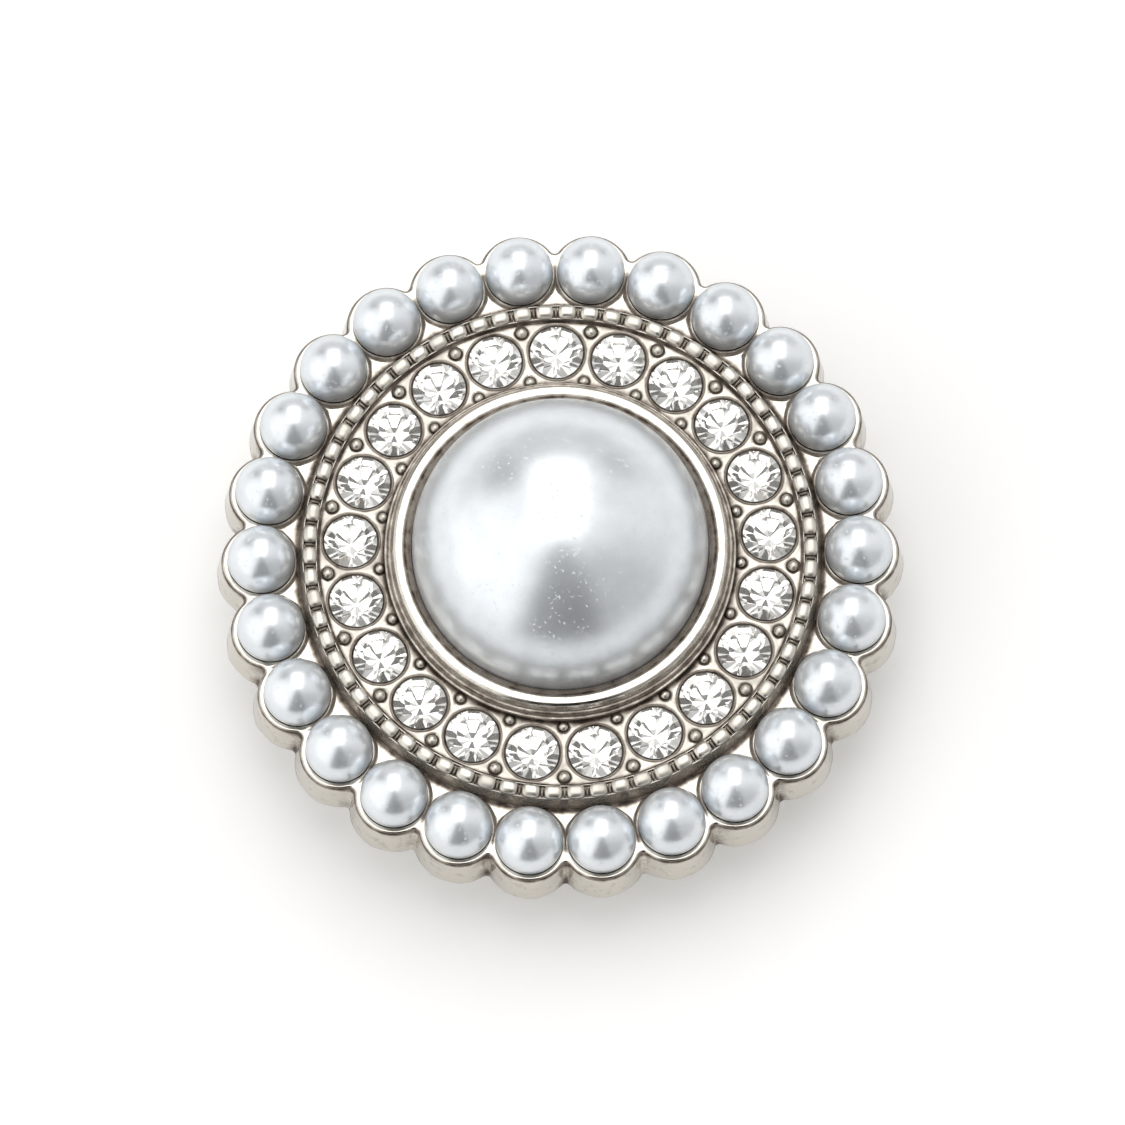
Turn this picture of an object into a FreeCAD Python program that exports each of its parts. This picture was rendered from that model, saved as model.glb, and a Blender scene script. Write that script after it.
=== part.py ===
import FreeCAD, Part
import os
import Sketcher

# Shank button: a plated zinc casting set with a half-round pearl, a ring of
# faceted stones and a scalloped rim of small round pearls.
# Heights are counted from the plane of the back rim, and the finished button
# is lifted so that the centre of the shank's eye is the origin.
# The radii run from the centre pearl outwards, so each ring follows the one inside it.

DRIVING_SIZES = (
    ("cab_dia", 13.1, "centre pearl, across its girdle"),
    ("cab_dome", 6.0, "centre pearl, dome above the girdle"),
    ("cab_base", 0.9, "centre pearl, straight base below the girdle"),
    ("cab_chamfer", 0.2, "centre pearl, bevel round its flat back"),
    ("cab_clear", 0.08, "gap round the centre pearl in its cup"),
    ("cab_sink", 0.1, "girdle of the centre pearl below the bezel's crest"),
    ("glue_gap", 0.03, "glue under each pearl and round each stone"),
    ("bezel_top", 0.58, "width of the bezel's lip"),
    ("bezel_lean", 0.27, "how far the bezel's inner wall leans out to its lip"),
    ("bezel_flare", 0.3, "how far the bezel's outer wall spreads to its foot"),
    ("bezel_step", 0.15, "each of the two ledges round the bezel's outer wall"),
    ("bezel_rise", 1.15, "bezel's crest above the deck of stones"),
    ("lip_round", 0.2, "rounding of the bezel's lip"),
    ("stone_dia", 2.34, "stone, across its girdle"),
    ("stone_table", 1.34, "stone, across the flats of its table"),
    ("stone_culet", 0.12, "stone, across the flat at its point"),
    ("stone_crown", 0.4, "stone, crown height"),
    ("stone_girdle", 0.06, "stone, girdle height"),
    ("stone_pavilion", 1.1, "stone, pavilion height"),
    ("stone_clear", 0.08, "gap round a stone's girdle"),
    ("stone_web", 0.2, "least metal between two stone seats"),
    ("stone_sink", 0.05, "girdle of a stone below its collar"),
    ("collar_wide", 0.08, "thin collar round a stone seat, width"),
    ("collar_rise", 0.06, "thin collar round a stone seat, height above the deck's flats"),
    ("inner_land", 0.25, "deck between the bezel's foot and the stone seats"),
    ("outer_land", 0.11, "deck between the stone seats and the groove"),
    ("groove_wide", 0.12, "groove inside the milgrain band, width"),
    ("groove_deep", 0.15, "groove inside the milgrain band, depth below the deck"),
    ("band_edge", 0.03, "edge of the band each side of its beads"),
    ("band_crest", 0.06, "crest of the band each side of the milgrain's channel"),
    ("band_channel", 0.2, "depth of the milgrain's channel"),
    ("band_rise", 0.18, "milgrain band above the deck"),
    ("bead_dia", 0.58, "milgrain bead, across"),
    ("bead_long", 0.7, "milgrain bead, length along the ring"),
    ("bead_sink", 0.05, "axis of the beads below the band's top"),
    ("bead_pitch", 0.985, "milgrain, from bead to bead"),
    ("reel_dia", 0.42, "milgrain reel, across"),
    ("reel_long", 0.11, "milgrain reel, length along the ring"),
    ("outer_grain", 0.5, "grain beside the groove, across"),
    ("inner_grain", 0.42, "grain beside the bezel, across"),
    ("grain_land", 0.08, "deck between the outer grains and the groove"),
    ("deck_rise", 0.65, "deck of stones above the rim"),
    ("ring_slope", 0.26, "how far the raised ring's outer wall leans out"),
    ("pearl_dia", 2.9, "rim pearl"),
    ("pearl_clear", 0.03, "gap round a rim pearl where it leaves its cup"),
    ("pearl_gap", 0.23, "least gap between two rim pearls"),
    ("pearl_land", 0.136, "flat between the raised ring and the pearl cups"),
    ("pearl_rise", 0.4, "centre of a rim pearl above the rim"),
    ("rim_height", 2.1, "rim above the back plane"),
    ("rim_lip", 0.276, "metal round the outside of a pearl cup"),
    ("rim_flare", 0.33, "how far the rim's outer wall spreads to the back"),
    ("valley_round", 0.3, "rounding of the valleys between the scallops"),
    ("hollow_land", 0.8, "back rim between the hollow and the raised ring's foot"),
    ("hollow_deep", 0.85, "depth of the back's hollow"),
    ("floor_thick", 1.05, "metal under the centre pearl"),
    ("cast_draft", 0.15, "lean of the hollow's walls"),
    ("eye_dia", 2.5, "eye of the shank"),
    ("eye_drop", 1.6, "centre of the eye below the back plane"),
    ("shank_wall", 1.0, "metal round the eye"),
    ("shank_thick", 1.6, "shank, along the eye"),
    ("shank_root", 0.4, "rounding where the shank meets the back"),
    ("shank_edge", 0.25, "rounding of the shank's edges"),
)
FACETS = 8
HALF_FACET = 180.0 / FACETS
STONE_TURN = 37.0
RELIEF = 1.0

doc = FreeCAD.newDocument("rhinestone_button")
dims = doc.addObject("Spreadsheet::Sheet", "dims")
for row, (alias, size, meaning) in enumerate(DRIVING_SIZES, 1):
    dims.set("A%d" % row, meaning)
    dims.set("B%d" % row, str(size))
    dims.setAlias("B%d" % row, alias)
doc.recompute()


def sized(text):
    """Put the sheet's name before each alias used in a formula."""
    words = sorted((alias for alias, size, meaning in DRIVING_SIZES), key=len, reverse=True)
    for word in words:
        text = text.replace("#" + word, "dims." + word)
    return "(" + text + ")"


def value(formula):
    """Work a formula out in millimetres."""
    found = dims.evalExpression(formula)
    return float(getattr(found, "Value", found))


# Radii, from the centre pearl outwards
cup_rad = sized("#cab_dia / 2 + #cab_clear")
lip_in_rad = cup_rad + " + " + sized("#bezel_lean")
bezel_rad = lip_in_rad + " + " + sized("#bezel_top")
bezel_foot = bezel_rad + " + " + sized("#bezel_flare")
seat_rad = sized("#stone_dia / 2 + #stone_clear")
stone_ring = bezel_foot + " + " + sized("#inner_land") + " + " + seat_rad
groove_in = stone_ring + " + " + seat_rad + " + " + sized("#outer_land")
groove_out = groove_in + " + " + sized("#groove_wide")
bead_ring = groove_out + " + " + sized("#band_edge + #bead_dia / 2")
band_out = bead_ring + " + " + sized("#band_edge + #bead_dia / 2")
ring_foot = band_out + " + " + sized("#ring_slope")
pearl_cup = sized("sqrt((#pearl_dia / 2) ^ 2 - #pearl_rise ^ 2) + #pearl_clear")
pearl_ring = ring_foot + " + " + sized("#pearl_land") + " + " + pearl_cup
hollow_rad = ring_foot + " - " + sized("#hollow_land")
dish_rad = sized("#cab_dia / 2")

# Heights above the back plane
rim_z = sized("#rim_height")
deck_z = sized("#rim_height + #deck_rise")
flat_z = deck_z + " - " + sized("#collar_rise")
band_z = deck_z + " + " + sized("#band_rise")
channel_z = band_z + " - " + sized("#band_channel")
groove_z = deck_z + " - " + sized("#groove_deep")
bezel_z = deck_z + " + " + sized("#bezel_rise")
girdle_z = bezel_z + " - " + sized("#cab_sink")
cab_back = girdle_z + " - " + sized("#cab_base")
cup_floor = cab_back + " - " + sized("#glue_gap")
dish_z = cup_floor + " - " + sized("#floor_thick")
hollow_z = sized("#hollow_deep")
pearl_z = sized("#rim_height + #pearl_rise")
stone_z = deck_z + " - " + sized("#stone_sink")
eye_z = sized("0 - #eye_drop")


def ring_count(radius, pitch):
    """How many pieces of a given pitch fit round a ring."""
    return "floor(180 deg / asin((%s) / (2 * (%s))))" % (pitch, radius)


pearl_count = ring_count(pearl_ring, sized("#pearl_dia + #pearl_gap"))
stone_count = ring_count(stone_ring, "2 * %s + %s" % (seat_rad, sized("#stone_web")))
bead_count = ring_count(bead_ring, sized("#bead_pitch"))


def origin_part(body, role):
    """A plane or axis of a body's own origin."""
    return [part for part in body.Origin.OriginFeatures if part.Role == role][0]


def new_sketch(body, name, plane, shift):
    """A sketch on one of the body's planes, moved along that plane's own directions."""
    sketch = body.newObject("Sketcher::SketchObject", name)
    sketch.AttachmentSupport = (origin_part(body, plane), [""])
    sketch.MapMode = "FlatFace"
    for direction, formula in zip("xyz", shift):
        if formula != "0":
            sketch.setExpression("AttachmentOffset.Base." + direction, formula)
    return sketch


def hold(sketch, kind, edge, formula):
    """Tie the start of an edge to the sketch's origin by one distance."""
    if formula == "0":
        axis = -2 if kind == "DistanceX" else -1
        sketch.addConstraint(Sketcher.Constraint("PointOnObject", edge, 1, axis))
        return
    tie = sketch.addConstraint(Sketcher.Constraint(kind, -1, 1, edge, 1, value(formula)))
    sketch.setExpression("Constraints[%d]" % tie, formula)


def outline(body, name, plane, corners, shift=("0", "0", "0")):
    """A closed outline of straight edges, each corner held by two distances."""
    sketch = new_sketch(body, name, plane, shift)
    points = [FreeCAD.Vector(value(across), value(up), 0) for across, up in corners]
    last = len(points) - 1
    for place, point in enumerate(points):
        sketch.addGeometry(Part.LineSegment(point, points[0 if place == last else place + 1]), False)
    for place in range(len(points)):
        following = 0 if place == last else place + 1
        sketch.addConstraint(Sketcher.Constraint("Coincident", place, 2, following, 1))
    for place, (across, up) in enumerate(corners):
        hold(sketch, "DistanceX", place, across)
        hold(sketch, "DistanceY", place, up)
    return sketch


def disc(body, name, plane, up, radius):
    """A circle on the plane's upright axis."""
    sketch = new_sketch(body, name, plane, ("0", "0", "0"))
    centre = FreeCAD.Vector(0, value(up), 0)
    sketch.addGeometry(Part.Circle(centre, FreeCAD.Vector(0, 0, 1), value(radius)), False)
    sketch.addConstraint(Sketcher.Constraint("PointOnObject", 0, 3, -2))
    height = sketch.addConstraint(Sketcher.Constraint("DistanceY", -1, 1, 0, 3, value(up)))
    sketch.setExpression("Constraints[%d]" % height, up)
    size = sketch.addConstraint(Sketcher.Constraint("Radius", 0, value(radius)))
    sketch.setExpression("Constraints[%d]" % size, radius)
    return sketch


def turned(body, kind, name, sketch, axis):
    """Turn an outline a full circle, adding metal or cutting it away."""
    feature = body.newObject("PartDesign::" + kind, name)
    feature.Profile = sketch
    feature.ReferenceAxis = (sketch, [axis])
    feature.Angle = 360
    body.Tip = feature
    doc.recompute()
    return feature


def around(body, name, features, count):
    """Repeat features round the button's axis."""
    pattern = body.newObject("PartDesign::PolarPattern", name)
    pattern.Originals = features
    pattern.Axis = (origin_part(body, "Z_Axis"), [""])
    pattern.Angle = 360
    pattern.setExpression("Occurrences", count)
    body.Tip = pattern
    doc.recompute()
    return pattern


def rounded(body, name, chosen, radius):
    """Round the edges of the body that a test picks."""
    base = body.Tip
    names = ["Edge%d" % (place + 1) for place, edge in enumerate(base.Shape.Edges) if chosen(edge)]
    fillet = body.newObject("PartDesign::Fillet", name)
    fillet.Base = (base, names)
    fillet.setExpression("Radius", radius)
    body.Tip = fillet
    doc.recompute()
    return fillet


def close(first, second):
    """Whether two lengths are the same size."""
    return abs(first - second) < 1e-4


def add_section(body):
    """The turned form: disc, raised ring, groove, deck, bezel, cup and hollow back."""
    draft = sized("#cast_draft")
    crest_out = " + " + sized("#band_crest")
    crest_in = " - " + sized("#band_crest")
    ledge = " + " + sized("#bezel_step")
    low_ledge = deck_z + " + " + sized("#bezel_rise / 4")
    high_ledge = deck_z + " + " + sized("#bezel_rise * 0.55")
    corners = (
        ("0", dish_z),
        (dish_rad + " - " + draft, dish_z),
        (dish_rad, hollow_z),
        (hollow_rad + " - " + draft, hollow_z),
        (hollow_rad, "0"),
        (pearl_ring, "0"),
        (pearl_ring, rim_z),
        (ring_foot, rim_z),
        (band_out, band_z),
        (band_out + crest_in, band_z),
        (band_out + crest_in, channel_z),
        (groove_out + crest_out, channel_z),
        (groove_out + crest_out, band_z),
        (groove_out, band_z),
        (groove_out, groove_z),
        (groove_in, groove_z),
        (groove_in, flat_z),
        (bezel_foot, flat_z),
        (bezel_foot, low_ledge),
        (bezel_rad + ledge, low_ledge),
        (bezel_rad + ledge, high_ledge),
        (bezel_rad, high_ledge),
        (bezel_rad, bezel_z),
        (lip_in_rad, bezel_z),
        (cup_rad, girdle_z + " - " + sized("#cab_base / 2")),
        (cup_rad, cup_floor),
        ("0", cup_floor),
    )
    sketch = outline(body, "section_outline", "XZ_Plane", corners)
    turned(body, "Revolution", "turned_form", sketch, "V_Axis")


def add_scallops(body):
    """The scalloped rim: one flared round for each pearl, with rounded valleys."""
    top_rad = pearl_cup + " + " + sized("#rim_lip")
    corners = (
        ("0", "0"),
        (top_rad + " + " + sized("#rim_flare"), "0"),
        (top_rad, rim_z),
        ("0", rim_z),
    )
    sketch = outline(body, "scallop_outline", "XZ_Plane", corners, (pearl_ring, "0", "0"))
    scallop = turned(body, "Revolution", "scallop", sketch, "V_Axis")
    around(body, "scallops", [scallop], pearl_count)
    reach = value(pearl_ring)
    rise = value(rim_z)

    def is_valley(edge):
        points = [vertex.Point for vertex in edge.Vertexes]
        heights = [point.z for point in points]
        outside = all(point.x ** 2 + point.y ** 2 > reach ** 2 for point in points)
        return outside and close(min(heights), 0) and close(max(heights), rise)

    rounded(body, "valley_rounds", is_valley, sized("#valley_round"))


def add_lip_rounds(body):
    """Soft edges on the bezel's lip."""
    crest = value(bezel_z)

    def is_lip(edge):
        return all(close(vertex.Point.z, crest) for vertex in edge.Vertexes)

    rounded(body, "lip_rounds", is_lip, sized("#lip_round"))


def cut_pearl_cups(body):
    """A cup for each rim pearl, with a cone that the pearl seats on."""
    room = sized("#pearl_dia / 2 + #glue_gap")
    bevel = "tan(22.5 deg) * " + room
    corners = (
        ("0", pearl_z + " - " + room),
        (bevel, pearl_z + " - " + room),
        (pearl_cup, pearl_z + " - " + room + " - " + bevel + " + " + pearl_cup),
        (pearl_cup, pearl_z + " + %g" % RELIEF),
        ("0", pearl_z + " + %g" % RELIEF),
    )
    sketch = outline(body, "pearl_cup_outline", "XZ_Plane", corners, (pearl_ring, "0", "0"))
    cup = turned(body, "Groove", "pearl_cup", sketch, "V_Axis")
    around(body, "pearl_cups", [cup], pearl_count)


def add_collars(body):
    """A thin raised collar round each stone's place, full until its seat is cut."""
    corners = (
        ("0", groove_z),
        (seat_rad + " + " + sized("#collar_wide"), groove_z),
        (seat_rad + " + " + sized("#collar_wide"), deck_z),
        ("0", deck_z),
    )
    sketch = outline(body, "collar_outline", "XZ_Plane", corners, ("0", "0", "0 - (%s)" % stone_ring))
    collar = turned(body, "Revolution", "seat_collar", sketch, "V_Axis")
    around(body, "seat_collars", [collar], stone_count)


def cut_stone_seats(body):
    """A conical seat for each stone."""
    under = stone_z + " - " + sized("#stone_girdle + #glue_gap")
    corners = (
        ("0", under + " - " + sized("#stone_pavilion")),
        (seat_rad + " / 4", under + " - " + sized("#stone_pavilion")),
        (seat_rad, under),
        (seat_rad, deck_z + " + %g" % RELIEF),
        ("0", deck_z + " + %g" % RELIEF),
    )
    shift = ("0", "0", "0 - (%s)" % stone_ring)
    sketch = outline(body, "stone_seat_outline", "XZ_Plane", corners, shift)
    seat = turned(body, "Groove", "stone_seat", sketch, "V_Axis")
    around(body, "stone_seats", [seat], stone_count)


def add_grains(body, name, radius, across):
    """A ring of little domes that stand between the stones."""
    root = deck_z + " - " + across + " / 4"
    mid = deck_z + " + " + across + " * 0.28"
    top = deck_z + " + " + across + " * 0.44"
    corners = (
        ("0", root),
        (across + " / 2", root),
        (across + " / 2", deck_z + " + " + across + " * 0.06"),
        (across + " * 0.39", mid),
        (across + " * 0.16", top),
        ("0", top),
    )
    half_step = "180 deg / (%s)" % stone_count
    shift = ("(%s) * sin(%s)" % (radius, half_step), "0", "0 - (%s) * cos(%s)" % (radius, half_step))
    sketch = outline(body, name + "_outline", "XZ_Plane", corners, shift)
    grain = turned(body, "Revolution", name, sketch, "V_Axis")
    around(body, name + "s", [grain], stone_count)


def add_milgrain(body):
    """Beads and thin reels in turn, lying along the band."""
    lift = band_z + " - " + sized("#bead_sink")
    bead = sized("#bead_dia / 2")
    half = sized("#bead_long / 2")
    bead_corners = (
        ("0 - " + half, "0"),
        ("0 - " + half, bead + " * 0.66"),
        ("0 - " + half + " * 0.6", bead),
        (half + " * 0.6", bead),
        (half, bead + " * 0.66"),
        (half, "0"),
    )
    shift = ("0", lift, bead_ring)
    bead_sketch = outline(body, "bead_outline", "YZ_Plane", bead_corners, shift)
    bead_turned = turned(body, "Revolution", "milgrain_bead", bead_sketch, "H_Axis")
    gap_mid = sized("#bead_pitch / 2")
    thin = sized("#reel_long / 2")
    reel = sized("#reel_dia / 2")
    reel_corners = (
        (gap_mid + " - " + thin, "0"),
        (gap_mid + " - " + thin, reel),
        (gap_mid + " + " + thin, reel),
        (gap_mid + " + " + thin, "0"),
    )
    reel_sketch = outline(body, "reel_outline", "YZ_Plane", reel_corners, shift)
    reel_turned = turned(body, "Revolution", "milgrain_reel", reel_sketch, "H_Axis")
    around(body, "milgrain", [bead_turned, reel_turned], bead_count)


def add_shank(body):
    """The cast eye on the back, drilled along X."""
    half_wide = sized("#eye_dia / 2 + #shank_wall")
    corners = (
        ("0 - " + half_wide, eye_z),
        (half_wide, eye_z),
        (half_wide, dish_z + " + " + sized("#floor_thick / 2")),
        ("0 - " + half_wide, dish_z + " + " + sized("#floor_thick / 2")),
    )
    post = outline(body, "shank_post_outline", "YZ_Plane", corners)
    round_end = disc(body, "shank_end_outline", "YZ_Plane", eye_z, half_wide)
    for name, sketch in (("shank_post", post), ("shank_end", round_end)):
        pad = body.newObject("PartDesign::Pad", name)
        pad.Profile = sketch
        pad.setExpression("Length", sized("#shank_thick"))
        pad.Midplane = True
        body.Tip = pad
        doc.recompute()
    side = value(sized("#shank_thick / 2"))
    wide = value(half_wide)
    root = value(dish_z)
    low = value(eye_z)

    def is_root(edge):
        points = [vertex.Point for vertex in edge.Vertexes]
        return all(close(point.z, root) and close(abs(point.x), side) and close(abs(point.y), wide)
                   for point in points)

    def is_side_edge(edge):
        points = [vertex.Point for vertex in edge.Vertexes]
        return all(close(abs(point.x), side) and point.z < low + 1e-3 for point in points)

    rounded(body, "shank_root", is_root, sized("#shank_root"))
    rounded(body, "shank_edges", is_side_edge, sized("#shank_edge"))
    eye = disc(body, "eye_outline", "YZ_Plane", eye_z, sized("#eye_dia / 2"))
    before = body.Tip.Shape.Volume
    drilled = body.newObject("PartDesign::Pocket", "shank_eye")
    drilled.Profile = eye
    drilled.setExpression("Length", sized("#shank_thick * 2"))
    drilled.Midplane = True
    body.Tip = drilled
    doc.recompute()
    if drilled.Shape.Volume >= before:
        raise RuntimeError("the eye of the shank cuts nothing")


def make_casting():
    """The whole casting in one body."""
    body = doc.addObject("PartDesign::Body", "button_casting")
    body.Label = "button_casting"
    add_section(body)
    add_lip_rounds(body)
    add_scallops(body)
    cut_pearl_cups(body)
    add_collars(body)
    cut_stone_seats(body)
    add_shank(body)
    outer_centre = groove_in + " - " + sized("#grain_land + #outer_grain / 2")
    inner_centre = bezel_foot + " + " + sized("#inner_grain / 2")
    add_grains(body, "outer_grain", outer_centre, sized("#outer_grain"))
    add_grains(body, "inner_grain", inner_centre, sized("#inner_grain"))
    add_milgrain(body)
    body.setExpression("Placement.Base.z", sized("#eye_drop"))
    return body


def set_sizes(thing, sizes):
    """Bind the sizes of a primitive to the sheet."""
    for size, formula in sizes:
        thing.setExpression(size, formula)


def make_centre_pearl():
    """The half-round pearl: dome, straight base and bevelled flat back."""
    width = sized("#cab_dia / 2")
    dome = doc.addObject("Part::Ellipsoid", "centre_dome")
    dome.Angle1 = 0
    dome.Radius3 = 0
    set_sizes(dome, (("Radius1", sized("#cab_dome")), ("Radius2", width)))
    base = doc.addObject("Part::Cylinder", "centre_base")
    set_sizes(base, (("Radius", width), ("Height", sized("#cab_base - #cab_chamfer"))))
    base.setExpression("Placement.Base.z", sized("#cab_chamfer - #cab_base"))
    bevel = doc.addObject("Part::Cone", "centre_bevel")
    set_sizes(bevel, (("Radius1", sized("#cab_dia / 2 - #cab_chamfer")), ("Radius2", width)))
    set_sizes(bevel, (("Height", sized("#cab_chamfer")), ("Placement.Base.z", sized("0 - #cab_base"))))
    pearl = doc.addObject("Part::MultiFuse", "centre_pearl")
    pearl.Shapes = [dome, base, bevel]
    pearl.Refine = True
    pearl.setExpression("Placement.Base.z", girdle_z + " + " + sized("#eye_drop"))
    return pearl


def make_rim_pearl(number):
    """One round pearl in its cup."""
    pearl = doc.addObject("Part::Sphere", "rim_pearl_%02d" % (number + 1))
    angle = "(%d * 360 deg / (%s))" % (number, pearl_count)
    set_sizes(pearl, (
        ("Radius", sized("#pearl_dia / 2")),
        ("Placement.Base.x", "(%s) * cos(%s)" % (pearl_ring, angle)),
        ("Placement.Base.y", "(%s) * sin(%s)" % (pearl_ring, angle)),
        ("Placement.Base.z", pearl_z + " + " + sized("#eye_drop")),
    ))
    return pearl


def facet_tool(name, low, low_apothem, high, high_apothem, turn):
    """A pyramid stump whose flat sides grind one row of facets."""
    ends = []
    for end, height, apothem in (("low", low, low_apothem), ("high", high, high_apothem)):
        polygon = doc.addObject("Part::RegularPolygon", name + "_" + end)
        polygon.Polygon = FACETS
        polygon.Placement.Rotation = FreeCAD.Rotation(FreeCAD.Vector(0, 0, 1), turn)
        polygon.setExpression("Circumradius", "(%s) / cos(%g deg)" % (apothem, HALF_FACET))
        polygon.setExpression("Placement.Base.z", height)
        ends.append(polygon)
    stump = doc.addObject("Part::Loft", name)
    stump.Sections = ends
    stump.Solid = True
    stump.Ruled = True
    return stump


def make_stone_tools():
    """The round blank and the four rows of facets of a stone, with its girdle at height 0."""
    width = sized("#stone_dia / 2")
    table = sized("#stone_table / 2")
    culet = sized("#stone_culet / 2")
    top = sized("#stone_crown")
    under = sized("0 - #stone_girdle")
    point = sized("0 - #stone_girdle - #stone_pavilion")
    height = sized("#stone_crown + #stone_girdle + #stone_pavilion")
    corner = "cos(%g deg)" % HALF_FACET
    crown_lean = "(%s - %s) / %s" % (width, table, top)
    break_lean = "(%s - %s / %s) / %s" % (width, table, corner, top)
    below = sized("#stone_girdle + #stone_pavilion")
    above = sized("#stone_girdle + #stone_crown")
    deep = sized("#stone_pavilion")
    under_lean = "(%s - %s) / %s" % (width, culet, deep)
    mid = "(%s + %s) / 2 / %s" % (width, culet, corner)
    steep_lean = "(%s - %s) * 2 / %s" % (width, mid, deep)
    blank = doc.addObject("Part::Cylinder", "stone_blank")
    set_sizes(blank, (("Radius", width), ("Height", height), ("Placement.Base.z", point)))
    rows = (
        ("crown_facets", "%s + %s * %s" % (width, crown_lean, below), table, 0.0),
        ("crown_breaks", "%s + %s * %s" % (width, break_lean, below), "%s / %s" % (table, corner), HALF_FACET),
        ("back_facets", culet, "%s + %s * %s" % (width, under_lean, above), 0.0),
        ("back_breaks", "%s - %s * %s" % (width, steep_lean, deep),
         "%s + %s * %s" % (width, steep_lean, above), HALF_FACET),
    )
    tools = [facet_tool(name, point, low, top, high, turn) for name, low, high, turn in rows]
    return [blank] + tools


def make_stone(number, tools):
    """One faceted stone in its seat, each turned its own way."""
    stone = doc.addObject("Part::MultiCommon", "rhinestone_%02d" % (number + 1))
    stone.Shapes = tools
    angle = "(90 deg + %d * 360 deg / (%s))" % (number, stone_count)
    stone.Placement.Rotation = FreeCAD.Rotation(FreeCAD.Vector(0, 0, 1), number * STONE_TURN)
    set_sizes(stone, (
        ("Placement.Base.x", "(%s) * cos(%s)" % (stone_ring, angle)),
        ("Placement.Base.y", "(%s) * sin(%s)" % (stone_ring, angle)),
        ("Placement.Base.z", stone_z + " + " + sized("#eye_drop")),
    ))
    return stone


def write_parts(nodes):
    """Check every object and solid, then write one file for each piece."""
    doc.recompute()
    failed = [thing.Name for thing in doc.Objects if "Invalid" in thing.State or "Error" in thing.State]
    if failed:
        raise RuntimeError("objects that failed: " + ", ".join(failed))
    for node in nodes:
        if node.Shape.isNull() or not node.Shape.isValid() or len(node.Shape.Solids) != 1:
            raise RuntimeError(node.Label + " is not one valid solid")
    os.makedirs("parts", exist_ok=True)
    for node in nodes:
        node.Shape.exportStep("parts/" + node.Label + ".step")
        print("%-16s %9.3f mm3" % (node.Label, node.Shape.Volume))


nodes = [make_casting(), make_centre_pearl()]
nodes += [make_rim_pearl(number) for number in range(int(value(pearl_count)))]
stone_tools = make_stone_tools()
nodes += [make_stone(number, stone_tools) for number in range(int(value(stone_count)))]
write_parts(nodes)
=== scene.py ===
import math

import bmesh
import bpy
import numpy as np
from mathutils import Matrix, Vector


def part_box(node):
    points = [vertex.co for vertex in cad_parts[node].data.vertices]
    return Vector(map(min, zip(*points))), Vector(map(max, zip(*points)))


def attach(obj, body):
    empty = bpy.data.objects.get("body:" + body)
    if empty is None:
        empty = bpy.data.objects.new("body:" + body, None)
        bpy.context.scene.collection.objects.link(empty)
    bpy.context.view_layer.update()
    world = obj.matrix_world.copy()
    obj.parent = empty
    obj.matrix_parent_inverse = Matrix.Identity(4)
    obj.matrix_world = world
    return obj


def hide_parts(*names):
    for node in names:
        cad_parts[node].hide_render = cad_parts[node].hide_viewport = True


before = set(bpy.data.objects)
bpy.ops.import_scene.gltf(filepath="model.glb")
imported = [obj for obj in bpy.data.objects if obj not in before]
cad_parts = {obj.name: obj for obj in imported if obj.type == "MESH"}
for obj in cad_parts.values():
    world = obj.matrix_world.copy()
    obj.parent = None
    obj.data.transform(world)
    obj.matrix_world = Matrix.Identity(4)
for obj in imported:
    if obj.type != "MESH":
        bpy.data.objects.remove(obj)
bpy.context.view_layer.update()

bl_info = {
    "name": "Rhinestone Button Dresser",
    "version": (1, 0, 0),
    "blender": (4, 5, 0),
    "location": "View3D > Sidebar > Button",
    "description": "Builds the finished surfaces of a pearl and rhinestone shank button round its frame",
    "category": "Object",
}

MM = 0.001
CASTING = "button_casting"


def node_names(stem):
    """The frame's nodes whose names start with a stem, in order."""
    names = sorted(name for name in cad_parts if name.startswith(stem))
    if not names:
        raise RuntimeError("the frame has no node named " + stem)
    return names


def node_middle(name):
    """The centre of a node's box."""
    low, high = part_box(name)
    return (np.array(low) + np.array(high)) / 2


PEARL_NODES = node_names("rim_pearl_")
STONE_NODES = node_names("rhinestone_")
PEARL_LOW, PEARL_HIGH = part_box(PEARL_NODES[0])
PEARL_RAD = (PEARL_HIGH.z - PEARL_LOW.z) / 2
PEARL_Z = (PEARL_HIGH.z + PEARL_LOW.z) / 2
PEARL_RING = float(np.hypot(*node_middle(PEARL_NODES[0])[:2]))
STONE_LOW, STONE_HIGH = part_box(STONE_NODES[0])
STONE_RAD = (STONE_HIGH.x - STONE_LOW.x) / 2
STONE_RING = float(np.hypot(*node_middle(STONE_NODES[0])[:2]))
CENTRE_LOW, CENTRE_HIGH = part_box("centre_pearl")
CENTRE_RAD = (CENTRE_HIGH.x - CENTRE_LOW.x) / 2
CASTING_LOW, CASTING_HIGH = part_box(CASTING)
OUTER_RAD = (CASTING_HIGH.x - CASTING_LOW.x) / 2
GLUE = 0.03 * MM                # glue under a pearl or a stone
PAVILION = 1.1 * MM             # from a stone's point up to its girdle
CENTRE_BASE = 0.9 * MM          # straight base of the centre pearl, up to its girdle
SOFTER = 3.2                    # how much rougher the plating is where it can't be polished


def length(name, default, description):
    """A length that a user may change."""
    return bpy.props.FloatProperty(
        name=name, description=description, default=default, min=0.0, precision=6, unit="LENGTH")


def share(name, default, description):
    """A share from 0 to 1."""
    return bpy.props.FloatProperty(
        name=name, description=description, default=default, min=0.0, max=1.0, subtype="FACTOR")


def colour(name, default, description):
    """A colour that a user may change."""
    return bpy.props.FloatVectorProperty(
        name=name, description=description, default=default, size=3, min=0.0, max=1.0, subtype="COLOR")


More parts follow.
